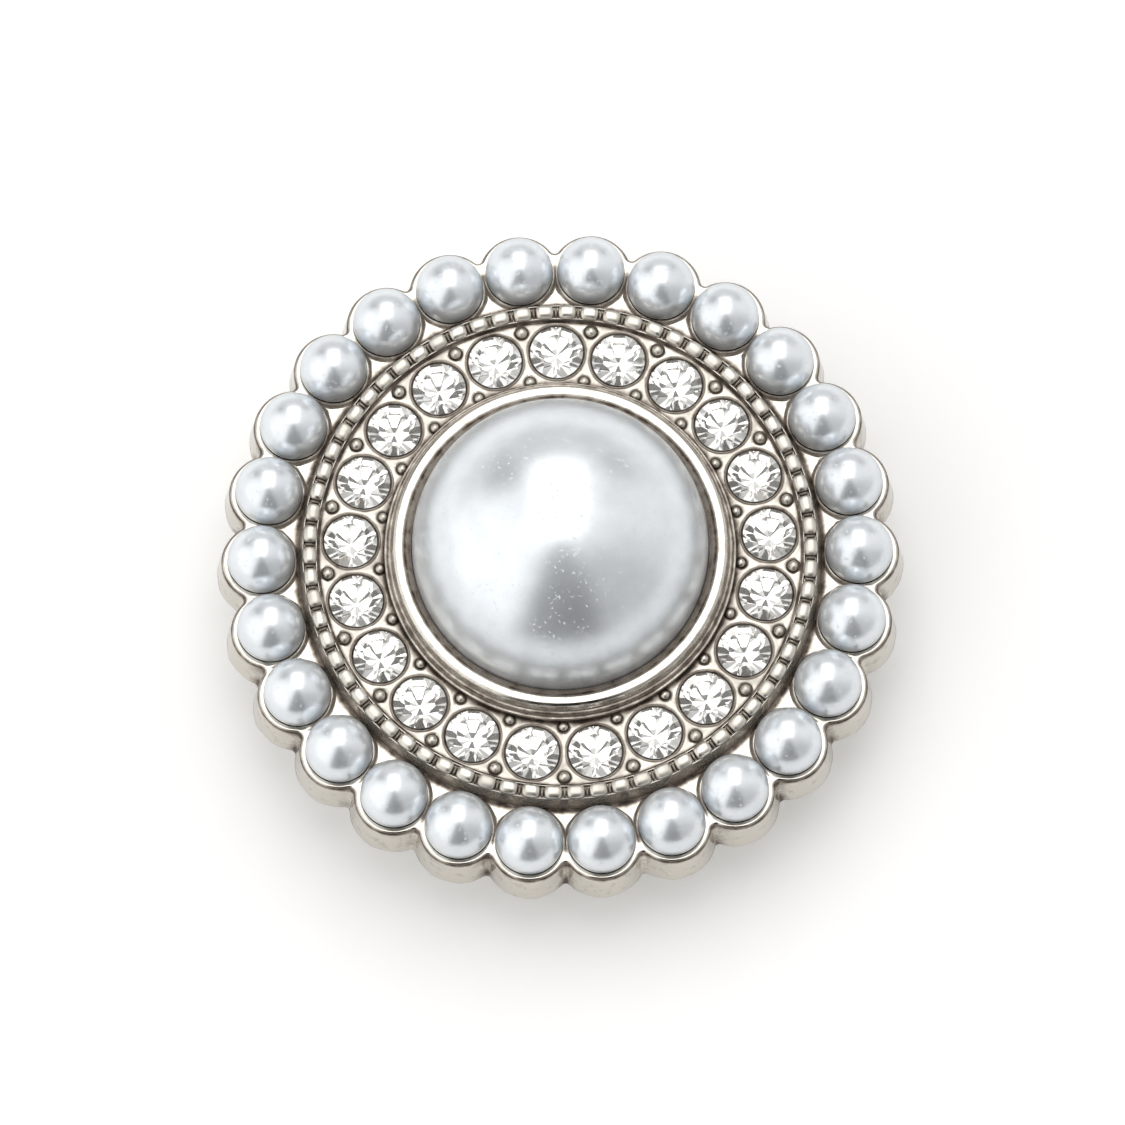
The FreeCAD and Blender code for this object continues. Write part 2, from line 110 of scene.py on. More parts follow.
class ButtonCastingSizes(bpy.types.PropertyGroup):
    """Sizes of the casting that the frame's boxes don't give"""
    rim_z: length("Rim height", PEARL_Z - 0.4 * MM, "Height of the scalloped rim's edge")
    back_z: length("Back height", 1.6 * MM, "Height of the back rim")
    pearl_coat: length("Pearl coat", 0.045 * MM, "Thickness that its coating adds to a rim pearl")
    cup_gap: length("Cup gap", 0.03 * MM, "Gap between a rim pearl and its cup")
    rim_radius: length("Scallop radius", 1.76 * MM, "Radius of a scallop at the rim's edge")
    valley: length("Valley rounding", 0.22 * MM, "Rounding between two scallops")
    lip_edge: length("Lip rounding", 0.14 * MM, "Rounding of the scalloped lip's outer edge")
    wander: length("Wall wander", 0.05 * MM, "How far the rim's wall wanders in and out")
    flat_sink: length("Flats sunk", 0.12 * MM, "Depth of the small flats beside the cups")
    ring_foot: length("Raised ring foot", 11.66 * MM, "Radius of the raised ring where it meets the rim")
    ring_lean: length("Raised ring lean", 0.26 * MM, "How far the raised ring's wall leans in")
    deck_z: length("Deck height", 4.35 * MM, "Height of the deck that carries the stones")
    band_rise: length("Band rise", 0.18 * MM, "Milgrain band above the deck")
    band_wide: length("Band width", 0.64 * MM, "Width of the milgrain channel with its two crests")
    crest_wide: length("Crest width", 0.06 * MM, "Width of a crest beside the milgrain")
    groove_wide: length("Groove width", 0.12 * MM, "Groove inside the band")
    groove_deep: length("Groove depth", 0.15 * MM, "Groove below the deck")
    bead_rad: length("Bead radius", 0.325 * MM, "Half the width of a milgrain bead")
    bead_long: length("Bead length", 0.80 * MM, "Length of a milgrain bead")
    reel_rad: length("Reel radius", 0.22 * MM, "Half the width of a thin reel between beads")
    reel_long: length("Reel length", 0.11 * MM, "Length of a thin reel")
    bead_pitch: length("Bead pitch", 0.985 * MM, "From bead to bead")
    seat_gap: length("Seat gap", 0.08 * MM, "Gap between a stone's girdle and its seat")
    collar: length("Seat collar", 0.09 * MM, "Width of the thin collar round a seat")
    bezel_foot: length("Bezel foot", 7.78 * MM, "Radius of the bezel where it meets the deck")
    bezel_rise: length("Bezel rise", 1.15 * MM, "Bezel's crest above the deck")
    bezel_out: length("Bezel outside", 7.48 * MM, "Radius of the outside of the bezel's lip")
    bezel_in: length("Bezel inside", 6.97 * MM, "Radius of the inside of the bezel's lip")
    cup_rad: length("Centre cup", 6.58 * MM, "Radius of the centre pearl's cup")
    grain_out: length("Outer grain", 0.24 * MM, "Radius of a grain beside the groove")
    grain_in: length("Inner grain", 0.20 * MM, "Radius of a grain beside the bezel")
    hollow_rad: length("Hollow radius", 10.83 * MM, "Radius of the hollow back")
    hollow_deep: length("Hollow depth", 0.85 * MM, "Depth of the hollow back")
    floor: length("Cup floor", 1.05 * MM, "Metal under the centre pearl")
    shank_root: length("Shank root", 0.4 * MM, "Fillet between the shank and the back")
    eye_rad: length("Eye radius", 1.25 * MM, "Radius of the shank's eye")
    shank_wall: length("Shank wall", 1.0 * MM, "Metal round the eye")
    shank_thick: length("Shank thickness", 1.6 * MM, "Thickness of the shank along its eye")


class ButtonFinish(bpy.types.PropertyGroup):
    """Colours and finishes"""
    metal: colour("Plating", (0.69, 0.65, 0.58), "Colour of the plated metal")
    # the recess and deepest shade colours are painted shade: brown in the recesses, nearly black at their
    # deepest
    recess: colour("Recess", (0.17, 0.12, 0.087), "Colour of the patina deep in the recesses")
    deepest_shade: colour("Deepest spots", (0.045, 0.033, 0.023), "Colour of the thickest patina")
    metal_rough: share("Plating roughness", 0.10, "Roughness of the plating")
    pearl: colour("Pearl", (0.83, 0.865, 0.90), "Body colour of the pearl coating")
    pearl_rough: share("Pearl roughness", 0.35, "How blurred reflections in a pearl are")
    pearl_lustre: share("Pearl lustre", 0.62, "Share of a pearl's light that it reflects like a mirror")
    glass: colour("Glass", (0.97, 0.98, 0.99), "Colour of the stones")
    foil: colour("Foil", (0.96, 0.95, 0.93), "Colour of the stones' foil backs")


class ButtonStage(bpy.types.PropertyGroup):
    """Camera, floor and light"""
    elevation: bpy.props.FloatProperty(
        name="Camera elevation", description="Angle of the camera above the floor",
        default=math.radians(73.3), subtype="ANGLE")
    turn: bpy.props.FloatProperty(
        name="Camera turn", description="Turn of the camera round the button",
        default=math.radians(-1.0), subtype="ANGLE")
    distance: length("Camera distance", 0.9, "From the camera to the button")
    frame_wide: length("Frame width", 49.75 * MM, "Width that the picture takes in at the button")
    shift_x: length("Aim right", 0.10 * MM, "Aim of the camera to the right of the button's middle")
    shift_y: length("Aim up", -0.25 * MM, "Aim of the camera above the button's middle")
    box_light: bpy.props.FloatProperty(
        name="Soft box", description="Brightness of the soft box above the button",
        default=1.7, min=0.0)
    room_light: bpy.props.FloatProperty(
        name="Room", description="Brightness of the room", default=1.0, min=0.0)
    floor_glow: bpy.props.FloatProperty(
        name="Floor glow", description="Light added to the floor as the camera sees it",
        default=0.2, min=0.0)


def grid_faces(rows, columns, wrap_rows, wrap_columns, start):
    """Quads between the points of a grid, which may close on itself either way."""
    row = np.arange(rows if wrap_rows else rows - 1)
    column = np.arange(columns if wrap_columns else columns - 1)
    i, j = np.meshgrid(row, column, indexing="ij")
    next_i = (i + 1) % rows
    next_j = (j + 1) % columns
    here = i * columns
    beyond = next_i * columns
    corners = (here + j, beyond + j, beyond + next_j, here + next_j)
    return np.stack(corners, axis=-1).reshape(-1, 4) + start


def skin(name, grids, crease=32.0, weld=1e-7):
    """One mesh of several grids: shared edges and poles are welded, and faces turned outwards.

    A grid's points are x, y, z, and may have a fourth number, how far each lies in a recess, which the
    metal shows as painted shade.
    """
    points = []
    faces = []
    start = 0
    for grid, wrap_rows, wrap_columns in grids:
        grid = np.asarray(grid, dtype=float)
        if grid.shape[-1] == 3:
            grid = np.concatenate((grid, np.zeros(grid.shape[:-1] + (1,))), axis=-1)
        copies = grid.reshape((-1,) + grid.shape[-3:])
        for copy in copies:
            rows, columns = copy.shape[:2]
            faces.append(grid_faces(rows, columns, wrap_rows, wrap_columns, start))
            points.append(copy.reshape(-1, 4))
            start += rows * columns
    points = np.concatenate(points)
    faces = np.concatenate(faces).astype(np.int32)
    mesh = bpy.data.meshes.new(name)
    mesh.vertices.add(len(points))
    mesh.vertices.foreach_set("co", points[:, :3].astype(np.float32).ravel())
    mesh.loops.add(faces.size)
    mesh.loops.foreach_set("vertex_index", faces.ravel())
    mesh.polygons.add(len(faces))
    mesh.polygons.foreach_set("loop_start", np.arange(0, faces.size, 4, dtype=np.int32))
    mesh.update(calc_edges=True)
    recess = mesh.attributes.new("recess", "FLOAT", "POINT")
    recess.data.foreach_set("value", points[:, 3].astype(np.float32))
    work = bmesh.new()
    work.from_mesh(mesh)
    bmesh.ops.remove_doubles(work, verts=work.verts, dist=weld)
    bmesh.ops.dissolve_degenerate(work, edges=work.edges, dist=weld / 10)
    bmesh.ops.recalc_face_normals(work, faces=work.faces)
    work.to_mesh(mesh)
    work.free()
    mesh.polygons.foreach_set("use_smooth", np.ones(len(mesh.polygons), dtype=bool))
    mesh.set_sharp_from_angle(angle=math.radians(crease))
    mesh.update()
    piece = bpy.data.objects.new(name, mesh)
    bpy.context.scene.collection.objects.link(piece)
    return piece


def finish_piece(piece, material, slot, *nodes):
    """Give a piece its material and body, and hide the frame's nodes that it stands for. The slot is not
    used.
    """
    piece.data.materials.append(material)
    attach(piece, "root")
    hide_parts(*nodes)


def rounded_profile(corners, steps=5):
    """A profile of (radius, height, rounding): each corner becomes an arc that touches both its edges."""
    corners = np.asarray(corners, dtype=float)
    out = []
    last = len(corners) - 1
    for place, (across, up, rounding) in enumerate(corners):
        here = np.array((across, up))
        if rounding <= 0 or place in (0, last):
            out.append(here[None])
            continue
        before = corners[place - 1, :2] - here
        after = corners[place + 1, :2] - here
        unit_in = before / np.linalg.norm(before)
        unit_out = after / np.linalg.norm(after)
        between = unit_in + unit_out
        half = math.acos(np.clip(unit_in @ unit_out, -1, 1)) / 2
        cut = rounding / math.tan(half)
        middle = here + between / np.linalg.norm(between) * rounding / math.sin(half)
        first = here + unit_in * cut - middle
        final = here + unit_out * cut - middle
        swing = math.pi - 2 * half
        turn = np.sign(first[0] * final[1] - first[1] * final[0])
        angle = np.linspace(0, swing, steps + 1) * turn
        cosine = np.cos(angle)
        sine = np.sin(angle)
        arc = np.stack((first[0] * cosine - first[1] * sine, first[0] * sine + first[1] * cosine), axis=1)
        out.append(middle + arc)
    return np.concatenate(out)


def turned_grid(profile, segments, recess=0.0):
    """A profile of radii and heights carried round the button's axis, each with its share of painted shade
    in the recess.
    """
    angle = np.linspace(0, 2 * np.pi, segments, endpoint=False)
    radius = profile[:, 0][:, None]
    shape = (len(profile), segments)
    height = np.broadcast_to(profile[:, 1][:, None], shape)
    recess = np.broadcast_to(np.broadcast_to(recess, len(profile))[:, None], shape)
    return np.stack((radius * np.cos(angle), radius * np.sin(angle), height, recess), axis=-1)


def spun(points, angles):
    """Copies of a grid turned about the button's axis, one for each angle."""
    cosine = np.cos(angles)[:, None, None]
    sine = np.sin(angles)[:, None, None]
    x = points[None, ..., 0]
    y = points[None, ..., 1]
    turned = np.stack((x * cosine - y * sine, x * sine + y * cosine), axis=-1)
    rest = np.broadcast_to(points[None, ..., 2:], turned.shape[:-1] + (points.shape[-1] - 2,))
    return np.concatenate((turned, rest), axis=-1)


def smooth_step(value):
    """0 below 0, 1 above 1 and an even S between."""
    value = np.clip(value, 0, 1)
    return value * value * (3 - 2 * value)


def sector_loop(outer, half, inner_rad, edge_points, arc_angles):
    """A closed loop: an outer line given by points, two radial edges, and an arc at the inner radius
    that has a point at each of the given angles."""
    outer_end = np.linalg.norm(outer[-1])
    step = np.linspace(outer_end, inner_rad, edge_points + 1)[1:]
    left = np.stack((step * math.cos(half), step * math.sin(half)), axis=1)
    arc = inner_rad * np.stack((np.cos(arc_angles), np.sin(arc_angles)), axis=1)[::-1][1:]
    step = np.linspace(inner_rad, outer_end, edge_points + 1)[1:-1]
    right = np.stack((step * math.cos(half), -step * math.sin(half)), axis=1)
    return np.concatenate((outer, left, arc, right))


def scallop_line(ring, half, round_rad, valley_rad, lobe_points, valley_points):
    """One scallop seen from above: an arc round the pearl, with a small hollow arc into each valley."""
    centre_far = ring * math.cos(half)
    centre_far += math.sqrt((round_rad + valley_rad) ** 2 - (ring * math.sin(half)) ** 2)
    valley = centre_far * np.array((math.cos(half), math.sin(half)))
    reach = valley - np.array((ring, 0.0))
    swing = math.atan2(reach[1], reach[0])
    angle = np.linspace(-swing, swing, lobe_points)
    lobe = np.stack((ring + round_rad * np.cos(angle), round_rad * np.sin(angle)), axis=1)
    start = swing + math.pi
    end = half + math.pi
    angle = np.linspace(start, end, valley_points + 1)[1:]
    upper = valley + valley_rad * np.stack((np.cos(angle), np.sin(angle)), axis=1)
    lower = upper[::-1] * np.array((1.0, -1.0))
    return np.concatenate((lower, lobe, upper))


def dark_near(profile, spots):
    """Share of painted shade along a profile: spots are (radius, height, spread, strength)."""
    share_dark = np.zeros(len(profile))
    for across, up, spread, strength in spots:
        gap = np.hypot(profile[:, 0] - across, profile[:, 1] - up)
        share_dark = np.maximum(share_dark, strength * np.exp(-(gap / spread) ** 2))
    return share_dark


def close_steps(profile, longest):
    """The same profile with more points, so that no step is longer than a given length."""
    out = [profile[:1]]
    for first, last in zip(profile[:-1], profile[1:]):
        count = max(1, int(math.ceil(np.linalg.norm(last - first) / longest)))
        out.append(first + (last - first) * np.linspace(0, 1, count + 1)[1:, None])
    return np.concatenate(out)


def reach_rows(loop, centre, distances, heights, recess):
    """Rows of points between a centre and a loop: each row has a distance, a height and a share of painted
    shade for every direction."""
    away = loop - centre
    reach = np.linalg.norm(away, axis=1)
    direction = away / reach[:, None]
    rows = []
    for distance, height, dark in zip(distances, heights, recess):
        distance = np.broadcast_to(distance, reach.shape)
        height = np.broadcast_to(height, reach.shape)
        dark = np.broadcast_to(dark, reach.shape)
        flat = centre + direction * distance[:, None]
        rows.append(np.concatenate((flat, height[:, None], dark[:, None]), axis=1))
    return np.array(rows)


def build_rim():
    """The scalloped rim: a cup for each pearl, a lip, small sunk three-cornered flats, a flared wall.

    Each cell is the wedge round one pearl. Its surface runs from the middle of the cup's floor up the
    cup's wall and over its round edge to a closed loop, which is the scallop's lip outside, the two
    radial edges and an arc at the raised ring's foot. The wall carries the scallop's line down and out.
    """
    sizes = bpy.context.scene.button_casting
    count = len(PEARL_NODES)
    half = math.pi / count
    rim_z = sizes.rim_z
    ball = PEARL_RAD + sizes.pearl_coat
    cup = math.sqrt(ball ** 2 - (PEARL_Z - rim_z) ** 2) + sizes.cup_gap
    room = ball + sizes.cup_gap
    top = sizes.rim_radius
    flare = OUTER_RAD - PEARL_RING - top
    edge = sizes.lip_edge
    base_edge = 0.08 * MM

    def scallop(round_rad, valley_rad):
        """One scallop's line, always with the same number of points."""
        return scallop_line(PEARL_RING, half, round_rad, valley_rad, 33, 5)

    lip_line = scallop(top - edge, sizes.valley + edge)
    base_line = scallop(top + flare - base_edge, sizes.valley + base_edge)
    polar = np.arctan2(base_line[:, 1], base_line[:, 0])
    loop = sector_loop(lip_line, half, sizes.ring_foot, 14, polar)
    centre = np.array((PEARL_RING, 0.0))
    away = loop - centre
    reach = np.linalg.norm(away, axis=1)
    free = reach - cup
    inward = smooth_step(0.5 - away[:, 0] / reach * 2.0)
    beside = smooth_step(1.5 - np.abs(away[:, 0] / reach + 0.1) / 0.25)
    bevel = room * math.tan(math.pi / 8)
    distances = [0.0, bevel, cup]
    heights = [PEARL_Z - room, PEARL_Z - room, PEARL_Z - room - bevel + cup]
    # the recess numbers are painted shade: on the cup's floor under the pearl, fading over the cup's edge
    recess = [0.8, 0.8, 0.8]
    cup_edge = 0.04 * MM
    ridge_wide = 0.36 * MM
    inner = np.minimum(cup_edge, free * 0.6)
    for angle in np.linspace(0, math.pi / 2, 6):
        distances.append(cup + inner * (1 - math.cos(angle)))
        heights.append(rim_z - inner * (1 - math.sin(angle)))
        recess.append(0.8 * (1 - math.sin(angle)))
    ridge_end = cup + inner + np.minimum(free - inner, ridge_wide)
    steps = [cup + inner + (ridge_end - cup - inner) * part for part in np.linspace(0, 1, 11)[1:]]
    steps += [ridge_end + (reach - ridge_end) * part for part in (0.25, 0.5, 0.75, 1.0)]
    for distance in steps:
        distances.append(distance)
        past = distance - cup - inner
        sink = sizes.flat_sink * inward * smooth_step((past - cup_edge) / (0.16 * MM))
        heights.append(rim_z - sink)
        # painted shade along the collar round the cup, at the raised ring's foot and along the cell's
        # radial edges
        collar = 0.6 * (1 - smooth_step((past - 0.12 * MM) / (0.12 * MM)))
        radius = np.linalg.norm(centre + away / reach[:, None] * distance[:, None], axis=1)
        by_ring = 0.9 * np.exp(-((radius - sizes.ring_foot) / (0.15 * MM)) ** 2)
        recess.append(np.maximum(np.maximum(collar, by_ring) * inward, 0.6 * beside))
    cell = reach_rows(loop, centre, distances, heights, recess)
    turns = np.arange(count) * 2 * half
    # each row of the wall: its line, its height, the painted shade in the valleys and under the lip, and
    # its share of the wander
    wall = [(lip_line, rim_z, 0, 0, 0)]
    for angle, shade in zip(np.linspace(0, math.pi / 2, 7)[1:], (0, 0.3, 0.7, 0.9, 0.9, 0.8)):
        out = edge * (1 - math.sin(angle))
        line = scallop(top - out, sizes.valley + out)
        wall.append((line, rim_z - edge * (1 - math.cos(angle)), 0, shade, 0))
    # how far down, painted shade in the valleys, painted shade under the lip, share of the wander
    wall_rows = (
        (0.1, 0.8, 0.2, 0.2),
        (0.2, 0.6, 0, 0.4),
        (0.4, 0.4, 0, 0.8),
        (0.6, 0.7, 0, 1.0),
        (0.8, 1.0, 0, 1.0),
        (0.96, 1.0, 0, 1.0),
    )
    for fall, mark, shade, sway in wall_rows:
        line = scallop(top + flare * fall, sizes.valley)
        wall.append((line, rim_z + (sizes.back_z - rim_z) * fall, mark, shade, sway))
    line = scallop(top + flare - base_edge * 0.3, sizes.valley + base_edge * 0.3)
    wall.append((line, sizes.back_z + base_edge * 0.25, 0, 0, 1.0))
    foot = sizes.ring_foot * np.stack((np.cos(polar), np.sin(polar)), axis=1)
    for part, sway in ((0.0, 1.0), (0.02, 1.0), (0.98, 0), (1.0, 0)):
        wall.append((base_line + (foot - base_line) * part, sizes.back_z, 0, 0, sway))
    # painted shade in the crease of each valley between scallops
    by_valley = np.exp(-((half - np.abs(polar)) / 0.02) ** 2)[:, None]
    rows = []
    for line, height, mark, shade, _ in wall:
        rows.append(np.column_stack((line, np.full(len(line), height), by_valley * mark + shade)))
    wall_grid = spun(np.array(rows), turns)
    around = np.arctan2(wall_grid[..., 1], wall_grid[..., 0])
    wave = (np.sin(37 * around + 1.0) + np.sin(61 * around + 2.0) + np.sin(89 * around) - 3) / 6
    sways = np.array([row[4] for row in wall])[None, :, None]
    wall_grid[..., :2] *= (1 + sizes.wander * wave * sways / PEARL_RING)[..., None]
    # below the lip, the painted shade comes and goes round the button
    below_lip = 8
    patchy = smooth_step(0.8 + 0.6 * np.sin(7 * around[:, below_lip:] + 1.0))
    wall_grid[:, below_lip:, :, 3] *= patchy
    nearest = np.argmin(np.linalg.norm(loop[None] - foot[:, None], axis=2), axis=1)
    high = cell[-1][nearest]
    low = high.copy()
    low[:, 2:] = (sizes.back_z, 0)
    ring_side = spun(np.array((high, low)), turns)
    grids = [(spun(cell, turns), False, True), (wall_grid, False, False), (ring_side, False, False)]
    return skin("scalloped_rim", grids)


def build_raised_ring():
    """The raised ring: a leaning outer wall, the milgrain's channel, the groove and the back rim."""
    sizes = bpy.context.scene.button_casting
    band_out = sizes.ring_foot - sizes.ring_lean
    band_in = band_out - sizes.band_wide
    groove_in = band_in - sizes.groove_wide
    crest = sizes.crest_wide
    band_z = sizes.deck_z + sizes.band_rise
    channel_z = sizes.deck_z - 0.02 * MM
    groove_z = sizes.deck_z - sizes.groove_deep
    hollow_z = sizes.back_z + sizes.hollow_deep
    land_z = sizes.rim_z - sizes.flat_sink
    draft = 0.15 * MM
    corners = (
        (sizes.ring_foot, sizes.back_z, 0),
        (sizes.ring_foot, land_z, 0),
        (sizes.ring_foot - 0.08 * MM, land_z + 0.03 * MM, 0.08 * MM),
        (band_out, band_z, 0.03 * MM),
        (band_out - crest, band_z, 0.03 * MM),
        (band_out - crest, channel_z, 0.03 * MM),
        (band_in + crest, channel_z, 0.03 * MM),
        (band_in + crest, band_z, 0.03 * MM),
        (band_in, band_z, 0.03 * MM),
        (band_in, groove_z, 0.02 * MM),
        (groove_in, groove_z, 0.02 * MM),
        (groove_in, sizes.deck_z - 0.10 * MM, 0),
        (groove_in, hollow_z, 0),
        (sizes.hollow_rad - draft, hollow_z, 0),
        (sizes.hollow_rad, sizes.back_z, 0.06 * MM),
        (sizes.ring_foot, sizes.back_z, 0),
    )
    profile = close_steps(rounded_profile(corners)[:-1], 0.07 * MM)
    spots = (       # radius, height, spread and strength of the painted shade
        (sizes.ring_foot - sizes.ring_lean / 2, (land_z + band_z) / 2, 0.75 * MM, 0.45),
        (sizes.ring_foot, land_z, 0.25 * MM, 0.85),
        ((band_out + band_in) / 2, channel_z, 0.26 * MM, 1.0),
        ((band_in + groove_in) / 2, groove_z, 0.22 * MM, 0.9),
    )
    ring = turned_grid(profile, 360, dark_near(profile, spots))
    return skin("raised_ring", [(ring, True, True)])


def build_milgrain():
    """The milgrain border: long beads and thin reels in turn, bent along the band.

    Along a bead its radius is R (1 - |2s/L|^p)^(1/p). Its section is a rounded square, whose two
    directions are the cosine and sine raised to a power below one, and it is carried along the
    ring's own arc. All beads are worked out at once.
    """
    sizes = bpy.context.scene.button_casting
    ring = sizes.ring_foot - sizes.ring_lean - sizes.band_wide / 2
    height = sizes.deck_z + sizes.band_rise
    count = int(2 * math.pi * ring / sizes.bead_pitch)
    turns = np.arange(count) * 2 * math.pi / count

    def beads(long, radius, power, along, about, shift, least):
        """All beads of one kind, with points along and about each and the least share of painted shade."""
        swing = np.linspace(-math.pi / 2, math.pi / 2, along)
        place = np.sin(swing) * long / 2
        across = radius * (1 - np.abs(np.sin(swing)) ** power) ** (1 / power)
        angle = place / ring + shift
        around = np.linspace(0, 2 * np.pi, about, endpoint=False)
        flat = 0.85
        sideways = np.sign(np.cos(around)) * np.abs(np.cos(around)) ** flat
        upwards = 0.7 * np.sign(np.sin(around)) * np.abs(np.sin(around)) ** flat
        distance = ring + across[:, None] * sideways
        z = height + across[:, None] * upwards
        # painted shade, darker towards the bottom of each bead
        dark = np.maximum(least, 0.9 * smooth_step(0.7 - (z - height) / radius * 1.7))
        x = distance * np.cos(angle)[:, None]
        y = distance * np.sin(angle)[:, None]
        return (spun(np.stack((x, y, z, dark), axis=-1), turns), False, True)

    long_beads = beads(sizes.bead_long, sizes.bead_rad, 3.4, 17, 24, 0.0, 0.0)
    # the reels are never less than half in painted shade, so the notches between beads read dark
    reels = beads(sizes.reel_long, sizes.reel_rad, 2.2, 7, 16, math.pi / count, 0.5)
    return skin("milgrain_border", [long_beads, reels], crease=60.0)


def grain_places(sizes):
    """Radii of the two rings of grains, and the half angle between two stones."""
    groove_in = sizes.ring_foot - sizes.ring_lean - sizes.band_wide - sizes.groove_wide
    outer = groove_in - 0.08 * MM - sizes.grain_out
    inner = sizes.bezel_foot + 0.02 * MM + sizes.grain_in
    return outer, inner, math.pi / len(STONE_NODES)


def build_deck():
    """The deck: a conical seat with a thin raised collar for each stone, and sunk flats round the grains.

    Each cell is the wedge round one stone. Rows run from the middle of the seat up its wall and over
    the collar to a closed loop of two arcs and two radial edges. A ring-shaped dip, the shape of a
    bell curve, goes round each grain.
    """
    sizes = bpy.context.scene.button_casting
    outer_grain, inner_grain, half = grain_places(sizes)
    groove_in = sizes.ring_foot - sizes.ring_lean - sizes.band_wide - sizes.groove_wide
    seat = STONE_RAD + sizes.seat_gap
    deck = sizes.deck_z
    low = STONE_LOW.z - GLUE
    under = low + PAVILION
    arc_points = 41
    edge_points = 38
    angle = np.linspace(-half, half, arc_points)
    outer_arc = groove_in * np.stack((np.cos(angle), np.sin(angle)), axis=1)
    loop = sector_loop(outer_arc, half, sizes.bezel_foot, edge_points, angle)
    centre = np.array((STONE_RING, 0.0))
    away = loop - centre
    reach = np.linalg.norm(away, axis=1)
    direction = away / reach[:, None]
    free = reach - seat
    limit = np.minimum(1.0, free / (sizes.collar + 0.08 * MM))
    collar = sizes.collar * limit
    distances = [0.0, seat / 4, seat, seat]
    heights = [low, low, under, deck - 0.12 * MM]
    # the recess numbers are painted shade: in the seat, on the collar, round each grain, at the bezel's
    # foot and at the groove
    recess = [0.7, 0.7, 0.7, 0.7]
    for angle in np.linspace(0, math.pi, 7):
        distances.append(seat + collar / 2 * (1 - math.cos(angle)))
        heights.append(deck - collar * 0.6 * (1 - math.sin(angle)))
        recess.append(0.6)
    start = distances[-1]
    brink = heights[-1]
    # radius of the ring, radius of a grain and spread of the painted shade round it
    grains = ((outer_grain, sizes.grain_out, 0.05 * MM), (inner_grain, sizes.grain_in, 0.11 * MM))
    for part in np.linspace(0, 1, 15)[1:]:
        distance = start + (reach - start) * part
        place = centre + direction * distance[:, None]
        dip = np.zeros(len(loop))
        around_grain = np.zeros(len(loop))
        for radius, grain, spread in grains:
            for side in (-1, 1):
                spot = radius * np.array((math.cos(half), side * math.sin(half)))
                gap = np.maximum(np.linalg.norm(place - spot, axis=1) - grain, 0)
                dip = np.maximum(dip, np.exp(-(gap / (0.06 * MM)) ** 2))
                around_grain = np.maximum(around_grain, np.exp(-(gap / spread) ** 2))
        dip *= smooth_step((distance - start) / (0.08 * MM))
        sag = smooth_step((distance - start) / (0.30 * MM))
        distances.append(distance)
        heights.append(brink - 0.03 * MM * sag - 0.12 * MM * dip)
        radius = np.linalg.norm(place, axis=1)
        by_bezel = np.exp(-((radius - sizes.bezel_foot) / (0.22 * MM)) ** 2)
        by_groove = 0.6 * np.exp(-((radius - groove_in) / (0.08 * MM)) ** 2)
        by_collar = 0.5 * np.exp(-((distance - start) / (0.05 * MM)) ** 2)
        by_edge = np.maximum(by_bezel, by_groove)
        recess.append(np.maximum(np.maximum(0.85 * around_grain, by_edge), by_collar))
    cell = reach_rows(loop, centre, distances, heights, recess)
    floor = sizes.back_z + sizes.hollow_deep
    edge = cell[-1]
    skirt = edge.copy()
    skirt[:, 2:] = (floor, 0)
    outer = np.arange(0, arc_points)
    inner = np.arange(0, arc_points)[::-1] + arc_points + edge_points - 1
    sides = np.stack((edge[outer], skirt[outer], skirt[inner], edge[inner]))
    turns = math.pi / 2 + np.arange(len(STONE_NODES)) * 2 * half
    grids = [(spun(cell, turns), False, True), (spun(sides, turns), False, False)]
    return skin("stone_deck", grids)


def build_grains():
    """Little domes between the stones: a ball, pressed to three quarters of its height, whose middle
    lies just under the deck."""
    sizes = bpy.context.scene.button_casting
    outer, inner, half = grain_places(sizes)
    turns = math.pi / 2 + half + np.arange(len(STONE_NODES)) * 2 * half
    rise = np.linspace(-math.pi / 3, math.pi / 2, 12)
    around = np.linspace(0, 2 * np.pi, 24, endpoint=False)
    level = np.append(-math.sin(math.pi / 3), np.sin(rise))
    shape = (len(level), len(around))
    # painted shade on each grain, darker towards its foot
    dark = np.broadcast_to(0.8 * smooth_step(0.6 - level * 1.6)[:, None], shape)
    grids = []
    for ring, radius in ((outer, sizes.grain_out), (inner, sizes.grain_in)):
        across = np.append(0.0, radius * np.cos(rise))[:, None]
        z = np.broadcast_to((sizes.deck_z - 0.04 * MM + 0.75 * radius * level)[:, None], shape)
        dome = np.stack((ring + across * np.cos(around), across * np.sin(around), z, dark), axis=-1)
        grids.append((spun(dome, turns), False, True))
    return skin("bright_grains", grids, crease=60.0)


